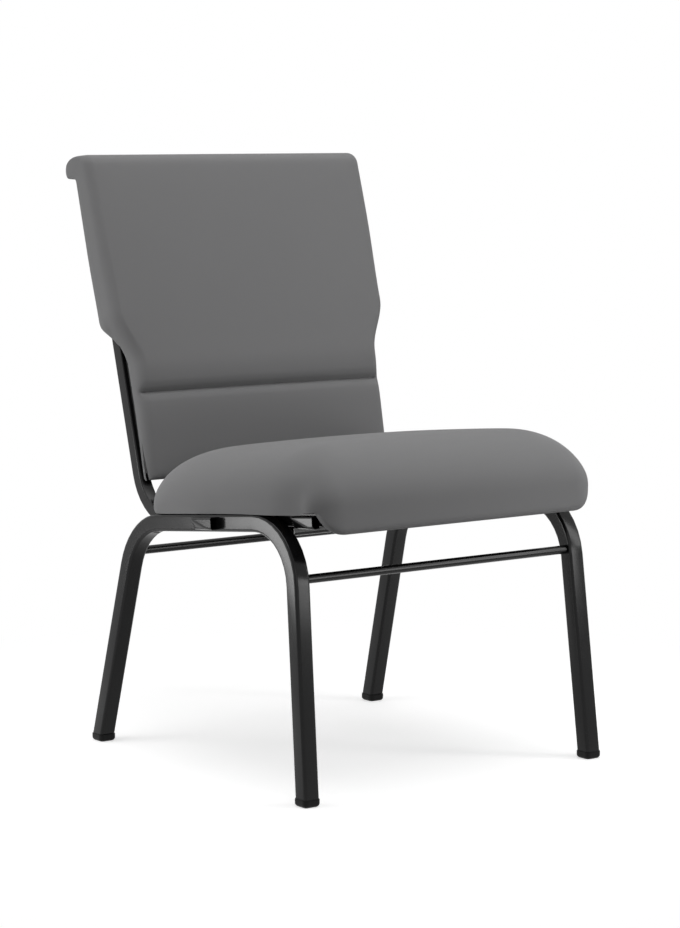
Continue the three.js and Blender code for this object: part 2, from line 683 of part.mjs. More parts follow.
// Back cushion: one padded cover with a sewn channel, wings over the uprights and a top rolled to the rear
function backCushion() {
  const face = -padFront;
  const rest = -padRest;
  const rollBottom = backTop - rollDepth;
  const seamTop = seamHeight + channelHalfHeight;
  const seamFoot = seamHeight - channelHalfHeight;
  const levels = (from, to, shares) => shares.map((share) => THREE.MathUtils.lerp(from, to, share));
  const tapered = (up) => THREE.MathUtils.clamp((seamFoot - up) / (seamFoot - backBottom), 0, 1);
  const faceAt = (up) => face + lumbarTaper * tapered(up);
  const faceLevels = [
    ...levels(backBottom, seamFoot, thirdShares),
    ...levels(seamFoot, seamTop, quarterShares),
    ...levels(wingStart, wingFull, wingShares),
    ...levels(wingFull, rollBottom - overrun, thirdShares),
    rollBottom - overrun,
    rollBottom + overrun,
  ];
  const outline = roundedOutline([
    [rest, backBottom, padFootRearRadius],
    [rest, seamHeight, 0],
    [rest, hemFront - overrun, 0],
    [rest, hemRear, 0],
    ...levels(rest, padRear - hemRound, thirdShares).map((n) => [n, hemRear, 0]),
    [padRear, hemRear, hemRound],
    [padRear, wingFull, 0],
    [padRear, rollBottom, rollNeckRadius],
    [rollRear, rollBottom + rollFall, rollHemRadius],
    [rollRear, backTop - rollFall, rollRearRadius],
    [face, backTop, rollFrontRadius],
    ...faceLevels.toReversed().map((level) => [faceAt(level), level, 0]),
    [faceAt(backBottom), backBottom, padFootRadius],
  ], 4);
  const profile = outline.map((point, i) => {
    const along = outline[(i + 1) % outline.length].clone().sub(outline.at(i - 1)).normalize();
    return { point, normal: new THREE.Vector2(along.y, -along.x) };
  });
  const inRoll = (point) => point.y > rollBottom + rollFall / 2 && point.x > 0;
  const hemAt = (n) => THREE.MathUtils.mapLinear(n, rest, padRear, hemFront, hemRear);
  const place = ({ point, normal }, side) => {
    const share = Math.abs(side);
    const behind = THREE.MathUtils.clamp((point.x - rest) / (padRear - rest), 0, 1);
    const hangs = share >= edgeShare && point.x >= rest && point.y >= hemRear && point.y < wingFull;
    const up = hangs
      ? THREE.MathUtils.mapLinear(point.y, hemRear, wingFull, hemAt(point.x), wingFull)
      : point.y;
    const width = backHalfWidthAt(up + wingLead * behind ** 3);
    const x = share < edgeShare
      ? share / edgeShare * (width - padEdge)
      : width - padEdge * (1 - share) / (1 - edgeShare);
    const drawn = 1 - rounding(x - width + padEdge, padEdge);
    const wing = smoothstep(up + wingLead * behind, wingStart, wingFull);
    const forward = THREE.MathUtils.clamp((rest - point.x) / (rest - face), 0, 1);
    const frontDraw = THREE.MathUtils.lerp(lumbarFrontDraw, wingFrontDraw, wing);
    const rearDraw = THREE.MathUtils.lerp(lumbarRearDraw, wingRearDraw, wing);
    const topDraw = forward > 0 ? topFrontDraw : topRearDraw;
    const footDraw = THREE.MathUtils.lerp(footRearDraw, footFrontDraw, forward);
    const inset = normal.x < 0 ? frontDraw * normal.x : rearDraw * behind;
    const round = inRoll(point) ? rollEndDraw * normal.x : inset;
    const lift = normal.y > 0 ? topDraw : footDraw;
    const panel = point.y > seamHeight
      ? (point.y - seamTop) / (backTop - rollFrontRadius - seamTop)
      : (point.y - backBottom) / (seamFoot - backBottom);
    const fullness = padFullness * Math.sin(Math.PI * THREE.MathUtils.clamp(panel, 0, 1));
    const seam = Math.max(0, 1 - Math.abs(point.y - seamHeight) / channelHalfHeight);
    const bulge = forward * forward * (1 - drawn)
      * (padCrown * (1 - share * share) + fullness - channelDepth * seam);
    return vector(Math.sign(side) * x, point.x - round * drawn - bulge, up - normal.y * lift * drawn);
  };
  let pad = solidOf(padded(profile, bothSides(backShares), place, (p) => p.z + p.y * climbShare));
  const room = seatTubeHalf + fit;
  const between = seatTubeHalfSpacing - seatTubeHalf;
  pad = pad.subtract(solidOf(box(
    vector(-between, rest, hemFront - 2 * overrun),
    vector(between, padRear + overrun, hemRear),
  )));
  for (const side of [-1, 1]) {
    const x = side * seatTubeHalfSpacing;
    pad = pad.subtract(solidOf(box(
      vector(x - room, uprightSet - room, hemFront - 2 * overrun),
      vector(x + room, uprightSet + room, uprightLength + fit),
    )));
  }
  pad = pad.subtract(solidOf(box(
    vector(-backBoardHalfWidth - fit, uprightFront - 2 * fit - backBoardThickness, backBoardBottom - fit),
    vector(backBoardHalfWidth + fit, uprightFront, backBoardTop + fit),
  )));
  return geometryOf(pad);
}

back.add(named('back_cushion', backCushion(), upholstery));

// Back board behind the padding, screwed to the uprights' front faces
function backBoard() {
  const low = backBoardBottom;
  const outline = roundedOutline([
    [backBoardHalfWidth, low, 0],
    [backBoardHalfWidth, backBoardTop, 0],
    [-backBoardHalfWidth, backBoardTop, 0],
    [-backBoardHalfWidth, low, 0],
  ], 1);
  const holes = [];
  for (const at of backScrewsAt) {
    for (const side of [-1, 1]) holes.push(circle(screwRadius + fit, side * backScrewSpacing, at));
  }
  const board = plate(outline, backBoardThickness, holes);
  board.rotateX(Math.PI / 2);
  board.translate(0, uprightFront - fit, 0);
  return board;
}

back.add(named('back_board', backBoard(), blackBoard));

// Outer back panel: an upholstered panel between the uprights behind the lumbar pad
function outerPanel() {
  const half = seatTubeHalfSpacing - seatTubeHalf - fit;
  const front = uprightFront;
  const top = hemRear - fit;
  const bottom = backBottom + panelLift;
  const profile = roundedOutline([
    [front, top, 0],
    [padRear, top, panelTopRadius],
    [padRear, bottom, panelFootRadius],
    [front, bottom, 0],
  ], 3);
  const place = (point, share) => {
    const rear = (point.x - front) / (padRear - front);
    const drawn = 1 - rounding(Math.abs(share) * half - half + overrun, overrun);
    return vector(share * half, point.x - overrun * drawn * rear, point.y);
  };
  const edge = 1 - overrun / half;
  const stations = bothSides([0, edge, (1 + edge) / 2, (3 + edge) / 4, 1]);
  return padded(profile, stations, place, (p) => p.z);
}

back.add(named('back_outer_panel', outerPanel(), upholstery));

// Pan-head screws, drawn with the head at the origin and the shank along +Z
function screw(shank) {
  const profile = [
    [0, -screwHeadHeight],
    [screwHeadRadius - screwHeadHeight / 2, -screwHeadHeight],
    [screwHeadRadius, -screwHeadHeight / 3],
    [screwHeadRadius, 0],
    [screwRadius, 0],
    [screwRadius, shank],
    [0, shank],
  ].map(([r, z]) => new THREE.Vector2(r, z));
  const body = new THREE.LatheGeometry(profile, 12);
  body.rotateX(Math.PI / 2);
  return facingOut(geometryOf(solidOf(body)));
}

for (const [word, side] of sides) {
  seatScrewsAt.forEach((at, i) => {
    const length = seatTubeSize + 2 * fit + dustCover + boardThickness * shankShare;
    const part = named(`${word}_seat_screw_${i + 1}`, screw(length), zinc);
    part.position.set(side * seatTubeHalfSpacing, at, seatTubeLift - seatTubeHalf - fit);
    seat.add(part);
  });
  backScrewsAt.forEach((at, i) => {
    const length = seatTubeSize + 2 * fit + backBoardThickness * shankShare;
    const part = named(`${word}_back_screw_${i + 1}`, screw(length), zinc);
    part.rotation.x = Math.PI / 2;
    part.position.set(side * backScrewSpacing, uprightRear + fit, at);
    back.add(part);
  });
}

// The origin is the centre of the footprint box on the floor
const bounds = new THREE.Box3().setFromObject(chair, true);
chair.position.y = -(bounds.min.y + bounds.max.y) / 2;

export default chair;
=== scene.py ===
import math

import bpy
import numpy as np
from mathutils import Matrix, Vector


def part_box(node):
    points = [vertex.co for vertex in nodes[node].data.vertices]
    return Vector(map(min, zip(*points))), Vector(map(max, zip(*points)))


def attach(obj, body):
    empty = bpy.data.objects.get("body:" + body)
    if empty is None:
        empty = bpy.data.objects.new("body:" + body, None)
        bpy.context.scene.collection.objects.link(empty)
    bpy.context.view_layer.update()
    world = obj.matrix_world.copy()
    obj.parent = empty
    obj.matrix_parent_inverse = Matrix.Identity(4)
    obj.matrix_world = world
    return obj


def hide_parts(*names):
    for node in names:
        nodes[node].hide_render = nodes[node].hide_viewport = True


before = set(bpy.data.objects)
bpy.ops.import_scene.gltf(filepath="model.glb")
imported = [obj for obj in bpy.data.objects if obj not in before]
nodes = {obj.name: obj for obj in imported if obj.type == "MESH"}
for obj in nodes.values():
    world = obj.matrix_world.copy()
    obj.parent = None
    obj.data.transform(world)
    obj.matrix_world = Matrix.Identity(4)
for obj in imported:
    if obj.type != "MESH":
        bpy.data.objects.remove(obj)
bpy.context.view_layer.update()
bpy.ops.object.select_all(action="DESELECT")
scene = bpy.context.scene


# Camera: it stands where the photograph was taken from, a little above the seat and well to the sitter's
# right, with a long lens. The azimuth and height angle come from a fit to the edges of the tubes.
view_azimuth = -36.43
view_height_angle = 6.809
camera_place = (-2.5021, -3.4179, 0.9322)
lens_mm = 110.96
camera_data = bpy.data.cameras.new("photo_camera")
camera_data.lens = lens_mm
camera_data.sensor_width = 36
camera_data.clip_end = 50
camera = bpy.data.objects.new("photo_camera", camera_data)
camera.location = camera_place
camera.rotation_euler = (math.radians(90 - view_height_angle), 0, math.radians(view_azimuth))
scene.collection.objects.link(camera)
scene.camera = camera


# Frames: square and round steel tube, bent, welded and coated in black powder. The coat has a faint orange
# peel and is a little smoother on worn edges, and its gloss varies slowly from place to place.
powder_colour = (0.004, 0.004, 0.0042, 1)
powder_rub = (0.007, 0.007, 0.0073, 1)
peel_scale, drift_scale, rub_scale = 900, 14, 60
merge_distance = 0.00001
crease_angle = math.radians(35)
straight_nodes = ("front_leg_bar", "rear_leg_bar", "front_crossmember", "rear_crossmember")
bent_nodes = ("right_leg_frame", "left_leg_frame", "right_seat_back_tube", "left_seat_back_tube")


class Socket:
    """A node's output. An expression on sockets adds the nodes that work it out."""

    def __init__(self, finish, out):
        self.finish = finish
        self.out = out

    def other(self, name):
        return Socket(self.finish, self.out.node.outputs[name])

    def math(self, operation, *others):
        return self.finish.node("ShaderNodeMath", {"operation": operation}, sockets=(self, *others))

    def __add__(self, other):
        return self.math("ADD", other)

    def __sub__(self, other):
        return self.math("SUBTRACT", other)

    def __mul__(self, other):
        return self.math("MULTIPLY", other)

    def __rsub__(self, other):
        return self.math("MULTIPLY", -1).math("ADD", other)

    __radd__ = __add__
    __rmul__ = __mul__


class Finish:
    """The nodes of a material or of the world."""

    def __init__(self, owner):
        owner.use_nodes = True
        self.owner = owner
        self.tree = owner.node_tree

    def node(self, kind, settings=None, out=0, sockets=(), **values):
        made = self.tree.nodes.new(kind)
        for key, value in (settings or {}).items():
            setattr(made, key, value)
        named = [(next(s for s in made.inputs if s.name == key.replace("_", " ") and s.enabled), value)
                 for key, value in values.items()]
        for slot_in, value in [*zip(made.inputs, sockets), *named]:
            self.feed(slot_in, value)
        return Socket(self, made.outputs[out])

    def feed(self, slot_in, value):
        if isinstance(value, Socket):
            self.tree.links.new(value.out, slot_in)
        else:
            slot_in.default_value = value

    def coordinates(self, scale=(1, 1, 1), turn=(0, 0, 0), out="Object"):
        place = self.node("ShaderNodeTexCoord", out=out)
        return self.node("ShaderNodeMapping", Vector=place, Scale=scale, Rotation=turn)

    def blend(self, factor, low, high):
        return self.node("ShaderNodeMix", {"data_type": "RGBA"}, out=2, Factor=factor, A=low, B=high)

    def surface(self, **values):
        shader = self.tree.nodes["Principled BSDF"]
        for key, value in values.items():
            self.feed(shader.inputs[key.replace("_", " ")], value)

    def bump(self, height, strength, distance):
        return self.node("ShaderNodeBump", Height=height, Strength=strength, Distance=distance)


def new_finish(name):
    return Finish(bpy.data.materials.new(name))


powder = new_finish("black_powder_coat")
where = powder.coordinates()
peel = powder.node("ShaderNodeTexNoise", Vector=where, Scale=peel_scale, Detail=2, Roughness=0.5)
drift = powder.node("ShaderNodeTexNoise", Vector=where, Scale=drift_scale, Detail=3, Roughness=0.55)
rub = powder.node("ShaderNodeTexNoise", Vector=where, Scale=rub_scale, Detail=4, Roughness=0.6)
powder.surface(
    Base_Color=powder.blend(drift, powder_colour, powder_rub),
    Roughness=drift * 0.06 + rub * 0.04 + 0.13,
    Specular_IOR_Level=0.2,
    Normal=powder.bump(peel, 0.05, 0.0002),
)


def dress(names, finish):
    """Puts the finish on CAD nodes that keep their own mesh."""
    for name in names:
        mesh = nodes[name].data
        mesh.materials.clear()
        mesh.materials.append(finish.owner)


dress(straight_nodes, powder)


def only(piece):
    bpy.ops.object.select_all(action="DESELECT")
    bpy.context.view_layer.objects.active = piece
    piece.select_set(True)


# A bent tube is the CAD tube's own shape in a copy whose bend is shaded round.
for name in bent_nodes:
    tube = bpy.data.objects.new(name + "_bent", nodes[name].data.copy())
    scene.collection.objects.link(tube)
    only(tube)
    bpy.ops.object.mode_set(mode="EDIT")
    bpy.ops.mesh.select_all(action="SELECT")
    bpy.ops.mesh.remove_doubles(threshold=merge_distance)
    bpy.ops.object.mode_set(mode="OBJECT")
    bpy.ops.mesh.customdata_custom_splitnormals_clear()
    bpy.ops.object.shade_smooth_by_angle(angle=crease_angle)
    flats = tube.modifiers.new("flats", "WEIGHTED_NORMAL")
    flats.keep_sharp = True
    bpy.ops.object.modifier_apply(modifier="flats")
    tube.data.materials.clear()
    tube.data.materials.append(powder.owner)
    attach(tube, "root")
    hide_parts(name)


# Link sockets: pockets pressed from steel sheet and welded to the frame's sides. They are open at the front,
# where the next chair's hook slides in, and the lower rear corner of the outer wall is pressed in.
rail_slope = math.radians(6.2)
seat_origin = (0, -0.25749, 0.3872)
seat_matrix = Matrix.Translation(seat_origin) @ Matrix.Rotation(-rail_slope, 4, "X")
socket_size = (0.0127, 0.0520, 0.0180)
socket_sheet = 0.0016
socket_press = 0.0065
socket_corner = 0.003
socket_cuts = 9


def smooth(value, low, high):
    t = np.clip((value - low) / (high - low), 0, 1)
    return t * t * (3 - 2 * t)


def pick(piece, mode, wanted):
    """Selects the edges or faces that the wanted test accepts, and stays in edit mode."""
    bpy.ops.object.mode_set(mode="EDIT")
    bpy.ops.mesh.select_mode(type=mode)
    bpy.ops.mesh.select_all(action="DESELECT")
    bpy.ops.object.mode_set(mode="OBJECT")
    points = [point.co.copy() for point in piece.data.vertices]
    parts = piece.data.edges if mode == "EDGE" else piece.data.polygons
    for part in parts:
        part.select = wanted([points[index] for index in part.vertices])
    bpy.ops.object.mode_set(mode="EDIT")


def block(name, size, centre):
    bpy.ops.object.select_all(action="DESELECT")
    bpy.ops.mesh.primitive_cube_add(size=1, location=centre)
    piece = bpy.context.object
    piece.name = name
    piece.scale = size
    bpy.ops.object.transform_apply(location=True, rotation=True, scale=True)
    return piece


def link_socket(node):
    low, high = (Vector(corner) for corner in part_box(node))
    middle = (low + high) / 2
    side = math.copysign(1, middle.x)
    piece = block(node + "_pressed", socket_size, (0, 0, 0))
    half_x, half_y, half_z = (length / 2 for length in socket_size)
    pick(piece, "FACE", lambda points: all(p.y < 0 for p in points))
    bpy.ops.mesh.delete(type="FACE")
    pick(piece, "EDGE", lambda points: all(p.x * side > 0 for p in points)
         and (points[0].y != points[1].y or all(p.y > 0 for p in points)))
    bpy.ops.mesh.bevel(offset=socket_corner, segments=3)
    bpy.ops.mesh.select_all(action="SELECT")
    bpy.ops.mesh.subdivide(number_cuts=socket_cuts)
    bpy.ops.object.mode_set(mode="OBJECT")
    pressed = piece.vertex_groups.new(name="pressed")
    for point in piece.data.vertices:
        along, up = (point.co.y + half_y) / (2 * half_y), (point.co.z + half_z) / (2 * half_z)
        lower_rear = smooth(along - up, 0.0, 1.0)
        outer = smooth(point.co.x * side, -half_x, half_x)
        pressed.add([point.index], float(lower_rear * outer), "REPLACE")
    press = piece.modifiers.new("press", "DISPLACE")
    press.direction = "X"
    press.vertex_group = "pressed"
    press.mid_level = 0
    press.strength = -side * socket_press
    bpy.ops.object.modifier_apply(modifier="press")
    sheet = piece.modifiers.new("sheet", "SOLIDIFY")
    sheet.thickness = socket_sheet
    sheet.offset = -1
    bpy.ops.object.modifier_apply(modifier="sheet")
    piece.vertex_groups.clear()
    bpy.ops.object.shade_smooth_by_angle(angle=crease_angle)
    piece.matrix_world = Matrix.Translation(middle) @ Matrix.Rotation(-rail_slope, 4, "X")
    bpy.ops.object.transform_apply(location=True, rotation=True, scale=True)
    piece.data.materials.append(powder.owner)
    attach(piece, "root")
    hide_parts(node)


for side_word in ("right", "left"):
    for end_word in ("front", "rear"):
        link_socket(f"{side_word}_{end_word}_link_socket")


# Glides and tube plugs: injection-moulded black plastic with a fine sparked texture, duller where the soles
# rub. They are pushed into the open ends of the tubes.
moulded = new_finish("black_moulded_plastic")
spark_place, scuff_place = moulded.coordinates(), moulded.coordinates((1, 1, 0.3))
spark = moulded.node("ShaderNodeTexNoise", Vector=spark_place, Scale=1600, Detail=2, Roughness=0.6)
scuff = moulded.node("ShaderNodeTexNoise", Vector=scuff_place, Scale=220, Detail=4, Roughness=0.6)
plastic_black, plastic_scuffed = (0.003, 0.003, 0.003, 1), (0.006, 0.006, 0.006, 1)
moulded.surface(
    Base_Color=moulded.blend(scuff, plastic_black, plastic_scuffed),
    Roughness=scuff * 0.2 + 0.3,
    Specular_IOR_Level=0.12,
    Normal=moulded.bump(spark, 0.25, 0.0002),
)
dress(
    (
        "right_front_foot_glide", "right_rear_foot_glide", "left_front_foot_glide", "left_rear_foot_glide",
        "right_seat_tube_plug", "left_seat_tube_plug",
    ),
    moulded,
)


# Boards: rotary-cut plywood with the grain across the chair, pale under the seat and near black inside the
# back, where that colour is painted shade for the recess between the pad and the tubes. The foam is glued to
# them, and the screws of the frame go into them.
birch_pale, birch_dark = (0.56, 0.39, 0.22, 1), (0.4, 0.25, 0.12, 1)
shade_black_pale, shade_black_dark = (0.012, 0.012, 0.012, 1), (0.006, 0.006, 0.006, 1)


def plywood(name, pale, dark):
    wood = new_finish(name)
    along_grain, upright = wood.coordinates((2, 40, 40)), wood.coordinates()
    grain = wood.node(
        "ShaderNodeTexNoise", Vector=along_grain, Scale=6, Detail=6, Roughness=0.65, Distortion=0.6
    )
    bands = {"bands_direction": "Z"}
    plies = wood.node("ShaderNodeTexWave", bands, Vector=upright, Scale=110, Distortion=0.4)
    wood.surface(
        Base_Color=wood.blend(grain * 0.8 + plies * 0.2, dark, pale),
        Roughness=grain * 0.2 + 0.6,
        Normal=wood.bump(grain, 0.3, 0.0004),
    )
    return wood


dress(("seat_board",), plywood("birch_plywood", birch_pale, birch_dark))
# The back board's near-black colour is painted shade for the shadowed recess between the pad and the tubes.
dress(("back_board",), plywood("shade_black_plywood", shade_black_pale, shade_black_dark))


# Dust cover: thin black non-woven cloth, stapled under the seat board. Its fibres are bonded by a pattern of
# small pressed dots.
nonwoven = new_finish("black_dust_cloth")
dots = nonwoven.node("ShaderNodeTexVoronoi", Vector=nonwoven.coordinates(), Scale=450)
fibres = nonwoven.node(
    "ShaderNodeTexNoise", Vector=nonwoven.coordinates(), Scale=1300, Detail=3, Roughness=0.7
)
nonwoven.surface(
    Base_Color=nonwoven.blend(fibres, (0.006, 0.006, 0.006, 1), (0.02, 0.02, 0.02, 1)),
    Roughness=0.9,
    Normal=nonwoven.bump(dots + fibres * 0.5, 0.4, 0.0003),
)
dress(("seat_dust_cover",), nonwoven)


# Screws: pan heads of steel in black zinc, slightly brushed by the driver. They hold the boards to the seat
# and back tubes.
zinc = new_finish("black_zinc")
brush = zinc.node(
    "ShaderNodeTexNoise", Vector=zinc.coordinates((1, 1, 8)), Scale=700, Detail=3, Roughness=0.6
)
zinc.surface(
    Base_Color=zinc.blend(brush, (0.05, 0.05, 0.055, 1), (0.1, 0.1, 0.105, 1)),
    Metallic=0.9,
    Roughness=brush * 0.2 + 0.3,
)
dress([name for name in nodes if "_screw_" in name], zinc)


# Cover fabric: a plain grey weave, heathered a little. It is drawn by two crossed sets of threads in the
# piece's own coordinates, about fourteen threads to the centimetre.
thread_pitch = 0.0007
fabric_colour = (0.158, 0.158, 0.160, 1)
fabric_light = (0.182, 0.182, 0.184, 1)


def woven(name, slope):
    """Draws the weave from the three sides of the sloping piece, each face by the side that it looks to."""
    cloth = new_finish(name)
    upright, outward = (cloth.coordinates(turn=(slope, 0, 0), out=out) for out in ("Object", "Normal"))
    x = cloth.node("ShaderNodeSeparateXYZ", out="X", Vector=upright)
    y, z = x.other("Y"), x.other("Z")
    facing = cloth.node("ShaderNodeSeparateXYZ", Vector=outward)
    sideways, forward, upward = (facing.other(name).math("ABSOLUTE") for name in "XYZ")
    side = sideways.math("GREATER_THAN", forward.math("MAXIMUM", upward))
    top = upward.math("GREATER_THAN", forward) * (1 - side)
    turns = math.pi / thread_pitch
    across = ((x + (y - x) * side) * turns).math("SINE")
    along = ((z + (y - z) * top) * turns).math("SINE")
    over = (across * along).math("GREATER_THAN", 0)
    weave = across.math("ABSOLUTE") * over + along.math("ABSOLUTE") * (1 - over)
    where = cloth.coordinates()
    heather = cloth.node("ShaderNodeTexNoise", Vector=where, Scale=900, Detail=3, Roughness=0.7)
    cloudy = cloth.node("ShaderNodeTexNoise", Vector=where, Scale=9, Detail=2, Roughness=0.5)
    cloth.surface(
        Base_Color=cloth.blend(heather * 0.5 + weave * 0.3 + cloudy * 0.2, fabric_colour, fabric_light),
        Roughness=0.86,
        Specular_IOR_Level=0.25,
        Sheen_Weight=0.12,
        Sheen_Roughness=0.5,
        Normal=cloth.bump(weave + heather * 0.4, 0.25, 0.0003),
    )
    return cloth


# Seat cushion: foam on the seat board under a fabric cover, with a waterfall front that hangs below the
# board. Its outline is carried across the width and pulled in at the sides, and then the cover is blown up a
# little as cloth.
seat_half_width = 0.258
seat_front, seat_rear = -0.066, 0.379
seat_under, seat_waist, seat_top = 0.013, 0.020, 0.1025
seat_front_round, seat_rear_round, seat_side_round = 0.105, 0.152, 0.100
seat_power = 2.5
seat_crown = 0.0055
plan_radius_front, plan_radius_rear = 0.050, 0.057
lip_drop, lip_thickness, lip_half_width, lip_round = 0.033, 0.012, 0.207, 0.0335
tuck_depth, tuck_place, tuck_behind, tuck_before, tuck_height = 0.009, -0.016, 0.062, 0.030, 0.055
skirt_drop, skirt_width = 0.003, 0.001
outline_step = 0.005
seat_pressure, seat_puff = 1.5, 0.0015
cloth_frames = 12


def rounding(past, length, power=2.0):
    share = np.clip(past / length, 0, 1)
    return (1 - share ** power) ** (1 / power)


def corner(y, z, radius, start, turn, steps):
    angles = [math.radians(start + turn * k / steps) for k in range(steps + 1)]
    return [(y + radius * math.cos(a), z + radius * math.sin(a)) for a in angles]


def super_arc(y, z, length, height, start, turn, steps, power):
    points = []
    for k in range(steps + 1):
        a = math.radians(start + turn * k / steps)
        c, s = math.cos(a), math.sin(a)
        points.append((
            y + length * math.copysign(abs(c) ** (2 / power), c),
            z + height * math.copysign(abs(s) ** (2 / power), s),
        ))
    return points


def spaced(points, step):
    closed = np.array(points + points[:1])
    length = np.r_[0, np.cumsum(np.hypot(*np.diff(closed, axis=0).T))]
    count = round(length[-1] / step)
    at = np.linspace(0, length[-1], count, endpoint=False)
    return np.stack([np.interp(at, length, closed[:, i]) for i in range(2)], axis=1)


def lofted(name, rings, key):
    """Joins closed rings into a skin. Triangles that climb both sides of a ring together close its ends."""
    rows, count = len(rings), len(rings[0])
    grid = np.arange(rows * count).reshape(rows, count)
    after = np.roll(grid, -1, axis=1)
    faces = np.stack([grid[:-1], after[:-1], after[1:], grid[1:]], axis=-1).reshape(-1, 4).tolist()
    for row in (0, rows - 1):
        level = key(rings[row])
        low, high = int(level.argmin()), int(level.argmax())
        up = [(low + k) % count for k in range((high - low) % count + 1)]
        other = [(low - 1 - k) % count for k in range(count - len(up))]
        i = j = 0
        while i + 1 < len(up) or j + 1 < len(other):
            climb = j + 1 >= len(other) or (i + 1 < len(up) and level[up[i + 1]] < level[other[j + 1]])
            face = [up[i], up[i + 1], other[j]] if climb else [up[i], other[j + 1], other[j]]
            faces.append([row * count + k for k in (face[::-1] if row == 0 else face)])
            i, j = (i + 1, j) if climb else (i, j + 1)
    mesh = bpy.data.meshes.new(name)
    mesh.from_pydata(np.concatenate(rings).tolist(), [], faces)
    piece = bpy.data.objects.new(name, mesh)
    scene.collection.objects.link(piece)
    only(piece)
    bpy.ops.object.mode_set(mode="EDIT")
    bpy.ops.mesh.select_all(action="SELECT")
    bpy.ops.mesh.remove_doubles(threshold=0.0001)
    bpy.ops.mesh.normals_make_consistent(inside=False)
    bpy.ops.object.mode_set(mode="OBJECT")
    return piece


rise = seat_top - seat_waist
seat_outline = spaced(
    corner(seat_rear - 0.006, seat_under + 0.006, 0.006, -90, 90, 6)
    + super_arc(seat_rear - seat_rear_round, seat_waist, seat_rear_round, rise, 0, 90, 24, seat_power)
    + super_arc(seat_front + seat_front_round, seat_waist, seat_front_round, rise, 90, 90, 24, 2.0)
    + corner(seat_front + 0.007, seat_under - lip_drop + 0.007, 0.007, 180, 90, 6)
    + corner(seat_front + lip_thickness - 0.004, seat_under - lip_drop + 0.004, 0.004, 270, 90, 4)
    + [(seat_front + lip_thickness, seat_under)],
    outline_step,
)
seat_middle = (seat_front + seat_rear) / 2
share_row = np.sin(np.linspace(-math.pi / 2, math.pi / 2, 81))


def seat_ring(share):
    y, z = seat_outline[:, 0], seat_outline[:, 1].copy()
    x = abs(share) * seat_half_width
    in_front = y < seat_middle
    radius = np.where(in_front, plan_radius_front, plan_radius_rear)
    inset = radius * (1 - rounding(x - seat_half_width + radius, radius))
    reach = np.where(in_front, seat_middle - seat_front, seat_rear - seat_middle)
    y_in = seat_middle + (y - seat_middle) * (1 - inset / reach)
    side = rounding(x - seat_half_width + seat_side_round, seat_side_round, seat_power)
    middle = np.maximum(0, 1 - ((y - seat_middle) / reach) ** 2) * (1 - share * share)
    lip = rounding(x - lip_half_width, lip_round)
    upper = seat_waist + (z - seat_waist) * (side + middle * seat_crown / rise)
    skirt = smooth(x, seat_half_width - skirt_width, seat_half_width)
    skirt = skirt * smooth((seat_middle - y) / reach, 0, 1)
    z_in = np.where(z > seat_waist, upper, z)
    z_in = np.where(z < seat_under, seat_under + (z - seat_under) * lip, z_in)
    z_in = z_in - np.where(z_in < seat_waist + 1e-4, skirt_drop * skirt * (1 - lip), 0)
    tuck_length = np.where(y_in > tuck_place, tuck_behind, tuck_before)
    tuck = 1 - smooth(abs(y_in - tuck_place) / tuck_length, 0, 1)
    tuck = tuck * (1 - smooth(z_in, seat_under, seat_under + tuck_height))
    x_in = x - tuck_depth * tuck * smooth(x, seat_half_width - 0.09, seat_half_width - 0.02)
    return np.stack([math.copysign(1, share) * x_in, y_in, z_in], axis=1)


seat_rings = [seat_ring(share) for share in share_row]
seat_cover = lofted("seat_cushion_cover", seat_rings, lambda ring: ring[:, 1])
seat_cover.data.transform(seat_matrix)


def points_of(piece, what="co"):
    values = np.zeros(len(piece.data.vertices) * 3)
    piece.data.vertices.foreach_get(what, values)
    return values.reshape(-1, 3)


def move_points(piece, points):
    piece.data.vertices.foreach_set("co", points.ravel())
    piece.data.update()


def puffed(piece, pressure, cap, fixed):
    """Blows the piece up as cloth and applies the result, brought down so that no point moves past cap."""
    before, normals = points_of(piece), points_of(piece, "normal")
    only(piece)
    still = fixed(before)
    held = piece.vertex_groups.new(name="held")
    for index in np.nonzero(still > 0.5)[0]:
        held.add([int(index)], 1.0, "REPLACE")
    cloth = piece.modifiers.new("cloth", "CLOTH")
    cloth.settings.quality = 5
    cloth.settings.mass = 0.3
    cloth.settings.use_pressure = True
    cloth.settings.uniform_pressure_force = pressure
    cloth.settings.tension_stiffness = 25
    cloth.settings.compression_stiffness = 25
    cloth.settings.bending_stiffness = 0.8
    cloth.settings.effector_weights.gravity = 0
    cloth.settings.vertex_group_mass = "held"
    cloth.collision_settings.use_collision = False
    for number in range(1, cloth_frames + 1):
        scene.frame_set(number)
    bpy.ops.object.modifier_apply(modifier="cloth")
    out = ((points_of(piece) - before) * normals).sum(1)
    spread = max(np.percentile(np.abs(out[still < 0.5]), 95), cap)
    out = np.clip(out / spread, -1, 1) * cap * (1 - still)
    piece.vertex_groups.clear()
    move_points(piece, before + normals * out[:, None])
    scene.frame_set(1)


def finished(piece, levels=1):
    only(piece)
    if levels:
        fine = piece.modifiers.new("fine", "SUBSURF")
        fine.levels = levels
        fine.render_levels = levels
        bpy.ops.object.modifier_apply(modifier="fine")
    bpy.ops.object.shade_smooth()


def hollowed(piece, *cutters):
    """Cuts the room for the neighbours out of a cover, and removes the cutters."""
    for cutter in cutters:
        only(piece)
        cut = piece.modifiers.new("cut", "BOOLEAN")
        cut.operation = "DIFFERENCE"
        cut.solver = "MANIFOLD"
        cut.object = cutter
        bpy.ops.object.modifier_apply(modifier="cut")
        bpy.data.objects.remove(cutter)
    piece.data.materials.clear()
    piece.data.polygons.foreach_set("material_index", [0] * len(piece.data.polygons))
    only(piece)
    bpy.ops.object.shade_smooth_by_angle(angle=math.radians(50))


def seat_local(points):
    inverse = np.array(seat_matrix.inverted())
    return points @ inverse[:3, :3].T + inverse[:3, 3]


def seat_held(points):
    return 1 - smooth(seat_local(points)[:, 2], seat_waist, seat_waist + 0.02)


